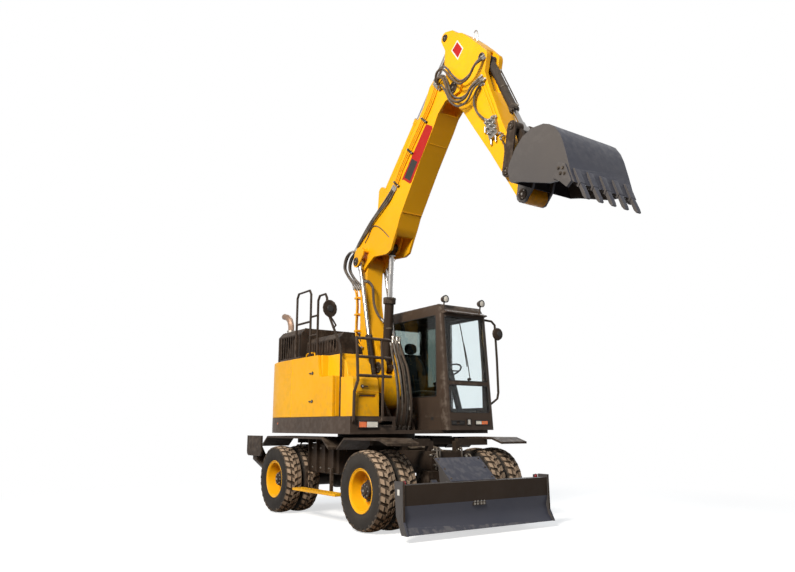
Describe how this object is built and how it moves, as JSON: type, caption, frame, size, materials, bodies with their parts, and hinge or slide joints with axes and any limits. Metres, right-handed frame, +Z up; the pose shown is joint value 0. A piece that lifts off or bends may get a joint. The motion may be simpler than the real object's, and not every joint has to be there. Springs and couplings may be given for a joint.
{
  "type": "wheeled excavator",
  "caption": "Wheeled excavator with a two-piece boom, stick and bucket, a cab, a front blade, rear outriggers and twin tyres.",
  "frame": {"origin": "middle of the bounding box, on the ground under the tyres", "axes": "+X forward towards the blade, +Y to the left, +Z up"},
  "size_m": [7.115, 2.9986, 7.2253],
  "materials": {
    "tyre_rubber": "dusty rubber",
    "yellow_paint": "semi-gloss paint",
    "cast_iron": "painted casting",
    "dark_paint": "satin paint",
    "blue_grey_paint": "satin paint",
    "rod_chrome": "polished",
    "cab_glass": "clear",
    "seat_fabric": "woven",
    "black_plastic": "matt"
  },
  "bodies": {
    "wheel_front_right": {"tyres_front_right": "tyre_rubber", "rim_front_right": "yellow_paint"},
    "wheel_front_left": {"tyres_front_left": "tyre_rubber", "rim_front_left": "yellow_paint"},
    "wheel_rear_right": {"tyres_rear_right": "tyre_rubber", "rim_rear_right": "yellow_paint"},
    "wheel_rear_left": {"tyres_rear_left": "tyre_rubber", "rim_rear_left": "yellow_paint"},
    "steer_right": {"knuckle_right": "cast_iron"},
    "steer_left": {"knuckle_left": "cast_iron"},
    "excavator": {"front_axle": "cast_iron", "rear_axle": "cast_iron", "chassis_frame": "dark_paint", "side_step_right": "yellow_paint", "side_step_left": "yellow_paint"},
    "blade": {"blade": "blue_grey_paint"},
    "blade_lift_barrel": {"blade_lift_barrel": "dark_paint"},
    "blade_lift_rod": {"blade_lift_rod": "rod_chrome"},
    "outrigger_right": {"outrigger_right_leg": "dark_paint"},
    "prop_right_barrel": {"prop_right_barrel": "dark_paint"},
    "prop_right_rod": {"prop_right_rod": "rod_chrome"},
    "outrigger_left": {"outrigger_left_leg": "dark_paint"},
    "prop_left_barrel": {"prop_left_barrel": "dark_paint"},
    "prop_left_rod": {"prop_left_rod": "rod_chrome"},
    "swing": {"deck": "dark_paint", "counterweight": "yellow_paint", "engine": "cast_iron", "hood": "dark_paint", "machinery_house": "yellow_paint", "tool_box": "yellow_paint", "handrail_right": "dark_paint", "cab_frame": "dark_paint", "windscreen_lower": "cab_glass", "windscreen": "cab_glass", "glass_right": "cab_glass", "glass_rear": "cab_glass", "glass_left": "cab_glass", "seat": "seat_fabric", "console": "black_plastic", "handrail_left": "dark_paint"},
    "side_door": {"side_door": "yellow_paint"},
    "cab_door": {"cab_door": "dark_paint", "door_glass": "cab_glass"},
    "lower_boom": {"lower_boom": "yellow_paint"},
    "upper_boom": {"upper_boom": "yellow_paint"},
    "stick": {"stick": "yellow_paint"},
    "bucket": {"bucket": "blue_grey_paint"},
    "rocker": {"rocker_right": "dark_paint", "rocker_left": "dark_paint"},
    "link": {"link": "dark_paint"},
    "hoist_right_barrel": {"hoist_right_barrel": "dark_paint"},
    "hoist_right_rod": {"hoist_right_rod": "rod_chrome"},
    "hoist_left_barrel": {"hoist_left_barrel": "dark_paint"},
    "hoist_left_rod": {"hoist_left_rod": "rod_chrome"},
    "adjust_barrel": {"adjust_barrel": "dark_paint"},
    "adjust_rod": {"adjust_rod": "rod_chrome"},
    "crowd_barrel": {"crowd_barrel": "yellow_paint"},
    "crowd_rod": {"crowd_rod": "rod_chrome"},
    "tilt_barrel": {"tilt_barrel": "dark_paint"},
    "tilt_rod": {"tilt_rod": "rod_chrome"}
  },
  "joints": [
    {"name": "swing", "type": "hinge", "parent": "excavator", "child": "swing", "pos_m": [-1.2575, -0.00072, 1.24555], "axis": [0, 0, 1], "continuous": true},
    {"name": "steer_right", "type": "hinge", "parent": "excavator", "child": "steer_right", "pos_m": [0.2425, -0.58072, 0.52055], "axis": [0, 0, 1], "range_deg": [-28, 28]},
    {"name": "steer_left", "type": "hinge", "parent": "excavator", "child": "steer_left", "pos_m": [0.2425, 0.57928, 0.52055], "axis": [0, 0, 1], "range_deg": [-28, 28]},
    {"name": "wheel_front_right", "type": "hinge", "parent": "steer_right", "child": "wheel_front_right", "pos_m": [0.2425, -0.95072, 0.52055], "axis": [0, 1, 0], "continuous": true},
    {"name": "wheel_front_left", "type": "hinge", "parent": "steer_left", "child": "wheel_front_left", "pos_m": [0.2425, 0.94928, 0.52055], "axis": [0, 1, 0], "continuous": true},
    {"name": "wheel_rear_right", "type": "hinge", "parent": "excavator", "child": "wheel_rear_right", "pos_m": [-2.3875, -0.95072, 0.52055], "axis": [0, 1, 0], "continuous": true},
    {"name": "wheel_rear_left", "type": "hinge", "parent": "excavator", "child": "wheel_rear_left", "pos_m": [-2.3875, 0.94928, 0.52055], "axis": [0, 1, 0], "continuous": true},
    {"name": "blade", "type": "hinge", "parent": "excavator", "child": "blade", "pos_m": [0.6425, -0.00072, 0.57555], "axis": [0, -1, 0], "range_deg": [-12, 18]},
    {"name": "outrigger_right", "type": "hinge", "parent": "excavator", "child": "outrigger_right", "pos_m": [-3.2575, -0.46072, 0.51555], "axis": [1, 0, 0], "range_deg": [0, 65]},
    {"name": "outrigger_left", "type": "hinge", "parent": "excavator", "child": "outrigger_left", "pos_m": [-3.2575, 0.45928, 0.51555], "axis": [-1, 0, 0], "range_deg": [0, 65]},
    {"name": "cab_door", "type": "hinge", "parent": "swing", "child": "cab_door", "pos_m": [-0.8995, 1.26128, 2.19555], "axis": [0, 0, 1], "range_deg": [0, 150]},
    {"name": "side_door", "type": "hinge", "parent": "swing", "child": "side_door", "pos_m": [-1.8015, -1.25072, 1.94555], "axis": [0, 0, -1], "range_deg": [0, 110]},
    {"name": "lower_boom", "type": "hinge", "parent": "swing", "child": "lower_boom", "pos_m": [-0.9575, -0.00072, 1.74555], "axis": [0, -1, 0], "range_deg": [-60, 4]},
    {"name": "upper_boom", "type": "hinge", "parent": "lower_boom", "child": "upper_boom", "pos_m": [-1.4075, -0.00072, 4.05555], "axis": [0, -1, 0], "range_deg": [-45, 20]},
    {"name": "stick", "type": "hinge", "parent": "upper_boom", "child": "stick", "pos_m": [1.0425, -0.00072, 6.19555], "axis": [0, 1, 0], "range_deg": [-42, 34]},
    {"name": "bucket", "type": "hinge", "parent": "stick", "child": "bucket", "pos_m": [2.3425, -0.00072, 4.19555], "axis": [0, 1, 0], "range_deg": [0, 140]},
    {"name": "blade_lift_turn", "type": "hinge", "parent": "excavator", "child": "blade_lift_barrel", "pos_m": [0.6625, -0.00072, 0.83555], "axis": [0, -1, 0], "range_deg": [-10.17, 14.39]},
    {"name": "blade_lift_slide", "type": "slide", "parent": "blade_lift_barrel", "child": "blade_lift_rod", "axis": [0.6633, 0, -0.7483], "range_m": [-0.0716, 0.0511]},
    {"name": "prop_right_turn", "type": "hinge", "parent": "excavator", "child": "prop_right_barrel", "pos_m": [-3.2575, -0.30072, 0.98555], "axis": [1, 0, 0], "range_deg": [-1.72, 32.65]},
    {"name": "prop_right_slide", "type": "slide", "parent": "prop_right_barrel", "child": "prop_right_rod", "axis": [0, -0.9066, -0.422], "range_m": [-0.01, 0.2955]},
    {"name": "prop_left_turn", "type": "hinge", "parent": "excavator", "child": "prop_left_barrel", "pos_m": [-3.2575, 0.29928, 0.98555], "axis": [1, 0, 0], "range_deg": [-32.65, 1.72]},
    {"name": "prop_left_slide", "type": "slide", "parent": "prop_left_barrel", "child": "prop_left_rod", "axis": [0, 0.9066, -0.422], "range_m": [-0.01, 0.2955]},
    {"name": "hoist_right_turn", "type": "hinge", "parent": "swing", "child": "hoist_right_barrel", "pos_m": [-0.7975, -0.25102, 1.41555], "axis": [0, -1, 0], "range_deg": [-55.48, 5.3]},
    {"name": "hoist_right_slide", "type": "slide", "parent": "hoist_right_barrel", "child": "hoist_right_rod", "axis": [-0.2251, 0, 0.9743], "range_m": [-0.2448, 0.0257]},
    {"name": "hoist_left_turn", "type": "hinge", "parent": "swing", "child": "hoist_left_barrel", "pos_m": [-0.7975, 0.24958, 1.41555], "axis": [0, -1, 0], "range_deg": [-55.48, 5.3]},
    {"name": "hoist_left_slide", "type": "slide", "parent": "hoist_left_barrel", "child": "hoist_left_rod", "axis": [-0.2251, 0, 0.9743], "range_m": [-0.2448, 0.0257]},
    {"name": "adjust_turn", "type": "hinge", "parent": "lower_boom", "child": "adjust_barrel", "pos_m": [-0.9775, -0.00072, 2.26555], "axis": [0, -1, 0], "range_deg": [-2.08, 1.88]},
    {"name": "adjust_slide", "type": "slide", "parent": "adjust_barrel", "child": "adjust_rod", "axis": [0.0818, 0, 0.9967], "range_m": [-0.4695, 0.2142]},
    {"name": "crowd_turn", "type": "hinge", "parent": "upper_boom", "child": "crowd_barrel", "pos_m": [-0.9675, -0.00072, 5.19555], "axis": [0, -1, 0], "range_deg": [-7.16, 8.44]},
    {"name": "crowd_slide", "type": "slide", "parent": "crowd_barrel", "child": "crowd_rod", "axis": [0.68, 0, 0.7332], "range_m": [-0.5977, 0.4858]},
    {"name": "rocker", "type": "hinge", "parent": "stick", "child": "rocker", "pos_m": [2.1125, -0.00072, 4.56555], "axis": [0, -1, 0], "range_deg": [-98.63, 1.72]},
    {"name": "link", "type": "hinge", "parent": "rocker", "child": "link", "pos_m": [2.2325, -0.00072, 5.14555], "axis": [0, -1, 0], "range_deg": [-1.72, 68.02]},
    {"name": "tilt_turn", "type": "hinge", "parent": "stick", "child": "tilt_barrel", "pos_m": [1.6225, -0.00072, 6.43555], "axis": [0, -1, 0], "range_deg": [-1.72, 3.46]},
    {"name": "tilt_slide", "type": "slide", "parent": "tilt_barrel", "child": "tilt_rod", "axis": [0.4275, 0, -0.904], "range_m": [-0.01, 0.8949]}
  ],
  "couplings": [
    {"joint": "steer_left", "follows": "steer_right", "ratio": 1},
    {"joint": "blade_lift_turn", "follows": "blade", "ratio": 0.70402},
    {"joint": "blade_lift_slide", "follows": "blade", "m_per_rad": -0.19604},
    {"joint": "prop_right_turn", "follows": "outrigger_right", "ratio": 0.47591},
    {"joint": "prop_right_slide", "follows": "outrigger_right", "m_per_rad": 0.25163},
    {"joint": "prop_left_turn", "follows": "outrigger_left", "ratio": -0.47591},
    {"joint": "prop_left_slide", "follows": "outrigger_left", "m_per_rad": 0.25163},
    {"joint": "hoist_right_turn", "follows": "lower_boom", "ratio": 0.89606},
    {"joint": "hoist_right_slide", "follows": "lower_boom", "m_per_rad": 0.22421},
    {"joint": "hoist_left_turn", "follows": "lower_boom", "ratio": 0.89606},
    {"joint": "hoist_left_slide", "follows": "lower_boom", "m_per_rad": 0.22421},
    {"joint": "adjust_turn", "follows": "upper_boom", "ratio": 0.007953},
    {"joint": "adjust_slide", "follows": "upper_boom", "m_per_rad": 0.585},
    {"joint": "crowd_turn", "follows": "stick", "ratio": -0.15993},
    {"joint": "crowd_slide", "follows": "stick", "m_per_rad": 0.80177},
    {"joint": "rocker", "follows": "bucket", "ratio": -0.69224},
    {"joint": "link", "follows": "bucket", "ratio": 0.47357},
    {"joint": "tilt_turn", "follows": "bucket", "ratio": 0.012442},
    {"joint": "tilt_slide", "follows": "bucket", "m_per_rad": 0.36214}
  ]
}
